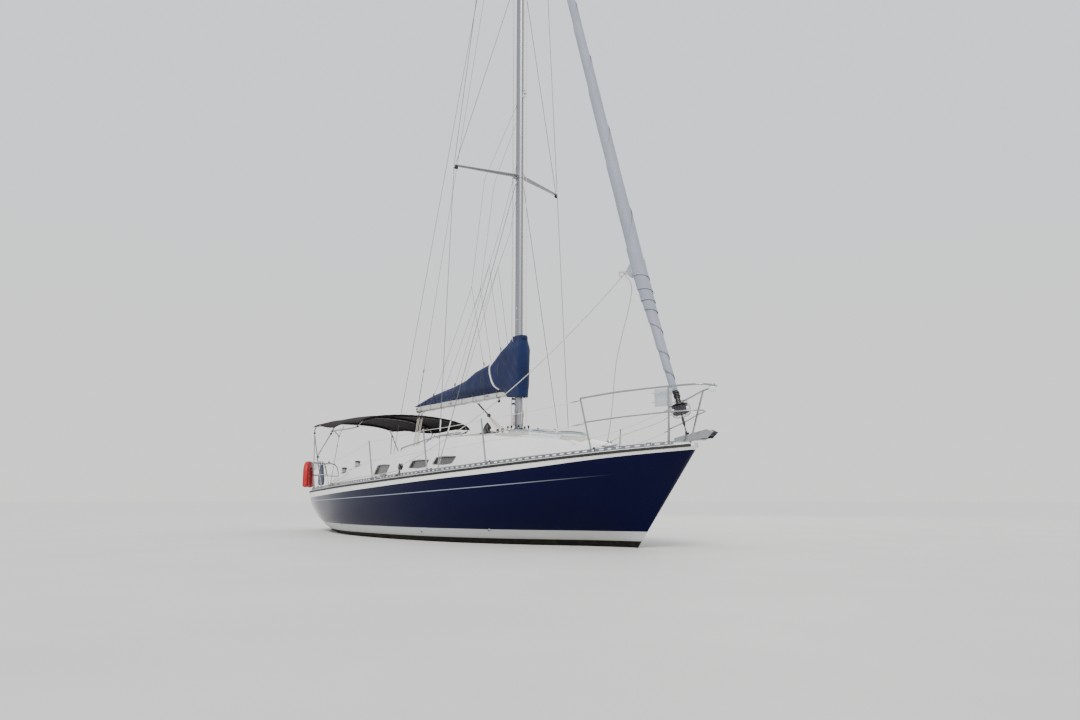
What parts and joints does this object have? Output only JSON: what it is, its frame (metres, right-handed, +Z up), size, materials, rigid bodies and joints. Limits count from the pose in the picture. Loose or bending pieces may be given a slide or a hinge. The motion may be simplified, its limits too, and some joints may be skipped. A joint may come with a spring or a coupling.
{
  "type": "sailing yacht",
  "caption": "Navy-hulled cruising yacht afloat, sails furled: fin keel, coachroof, tiller, cockpit canopy and a masthead rig with swept spreaders.",
  "frame": {"origin": "on the centreline at the waterline, amidships (half the deck's length)", "axes": "+X to the bow, +Y to port, +Z up; the waterline plane is Z = 0"},
  "size_m": [10.661, 3.4628, 14.95],
  "materials": {
    "gelcoat_navy": "gloss",
    "gelcoat_white": "satin",
    "deck_nonslip": "textured",
    "antifouling": "matt",
    "alloy": "anodised",
    "stainless": "polished",
    "bronze": "dull",
    "tinted_pane": "gloss",
    "varnished_wood": "varnished",
    "cover_blue": "woven",
    "canopy_brown": "woven",
    "sailcloth": "weathered",
    "black_fitting": "moulded",
    "buoy_red": "coated"
  },
  "bodies": {
    "hull": {"hull": "gelcoat_navy", "deck": "deck_nonslip", "deck_aft": "deck_nonslip", "coachroof": "gelcoat_white", "coaming_port": "gelcoat_white", "coaming_starboard": "gelcoat_white", "window_panes_port": "tinted_pane", "window_panes_starboard": "tinted_pane", "washboard": "varnished_wood", "toe_rail_port": "alloy", "toe_rail_starboard": "alloy", "keel": "antifouling", "shaft_bracket": "bronze", "mast": "alloy", "lower_spreaders": "alloy", "upper_spreaders": "alloy", "cap_shroud_low_port": "stainless", "cap_shroud_low_starboard": "stainless", "cap_shroud_middle_port": "stainless", "cap_shroud_middle_starboard": "stainless", "cap_shroud_high_port": "stainless", "cap_shroud_high_starboard": "stainless", "intermediate_shroud_port": "stainless", "intermediate_shroud_starboard": "stainless", "lower_shroud_port": "stainless", "lower_shroud_starboard": "stainless", "forestay": "stainless", "backstay": "stainless", "furler_drum": "black_fitting", "furled_genoa": "sailcloth", "sail_cover_mast": "cover_blue", "bow_fitting": "stainless", "stanchion_1_port": "stainless", "stanchion_1_starboard": "stainless", "stanchion_2_port": "stainless", "stanchion_2_starboard": "stainless", "stanchion_3_port": "stainless", "stanchion_3_starboard": "stainless", "pulpit": "stainless", "pushpit_port": "stainless", "pushpit_starboard": "stainless", "bimini_canopy": "canopy_brown", "bimini_aft_hoop": "stainless", "bimini_middle_hoop": "stainless", "bimini_front_hoop": "stainless", "horseshoe_buoy": "buoy_red"},
    "rudder": {"rudder": "antifouling", "tiller": "varnished_wood"},
    "propeller": {"propeller": "bronze"},
    "boom": {"boom": "alloy", "sail_cover_boom": "cover_blue"},
    "companion_hatch": {"companion_hatch": "gelcoat_white"},
    "fore_hatch": {"fore_hatch": "tinted_pane"},
    "bow_roller": {"bow_roller": "black_fitting"},
    "winch_aft_port": {"winch_aft_port": "stainless"},
    "winch_aft_starboard": {"winch_aft_starboard": "stainless"},
    "winch_fore_port": {"winch_fore_port": "stainless"},
    "winch_fore_starboard": {"winch_fore_starboard": "stainless"}
  },
  "joints": [
    {"name": "rudder_turn", "type": "hinge", "parent": "hull", "child": "rudder", "pos_m": [-4.35, 0, 0.5], "axis": [0, 0, 1], "range_deg": [-35, 35]},
    {"name": "propeller_spin", "type": "hinge", "parent": "hull", "child": "propeller", "pos_m": [-3.38, 0, -0.44], "axis": [-0.9867, 0, -0.1628], "continuous": true},
    {"name": "boom_swing", "type": "hinge", "parent": "hull", "child": "boom", "pos_m": [1.07, 0, 2.41], "axis": [0, 0, 1], "range_deg": [-60, 60]},
    {"name": "companion_slide", "type": "slide", "parent": "hull", "child": "companion_hatch", "axis": [0.9931, 0, 0.1174], "range_m": [0, 0.55]},
    {"name": "fore_hatch_hinge", "type": "hinge", "parent": "hull", "child": "fore_hatch", "pos_m": [2.68, 0, 1.615], "axis": [0, 1, 0], "range_deg": [0, 90]},
    {"name": "bow_roller_spin", "type": "hinge", "parent": "hull", "child": "bow_roller", "pos_m": [5.345, 0, 1.43515], "axis": [0, 1, 0], "continuous": true},
    {"name": "winch_aft_port_spin", "type": "hinge", "parent": "hull", "child": "winch_aft_port", "pos_m": [-3.43, 0.89, 1.2], "axis": [0, 0, 1], "continuous": true},
    {"name": "winch_aft_starboard_spin", "type": "hinge", "parent": "hull", "child": "winch_aft_starboard", "pos_m": [-3.43, -0.89, 1.2], "axis": [0, 0, 1], "continuous": true},
    {"name": "winch_fore_port_spin", "type": "hinge", "parent": "hull", "child": "winch_fore_port", "pos_m": [-2.82, 0.89, 1.3], "axis": [0, 0, 1], "continuous": true},
    {"name": "winch_fore_starboard_spin", "type": "hinge", "parent": "hull", "child": "winch_fore_starboard", "pos_m": [-2.82, -0.89, 1.3], "axis": [0, 0, 1], "continuous": true}
  ]
}
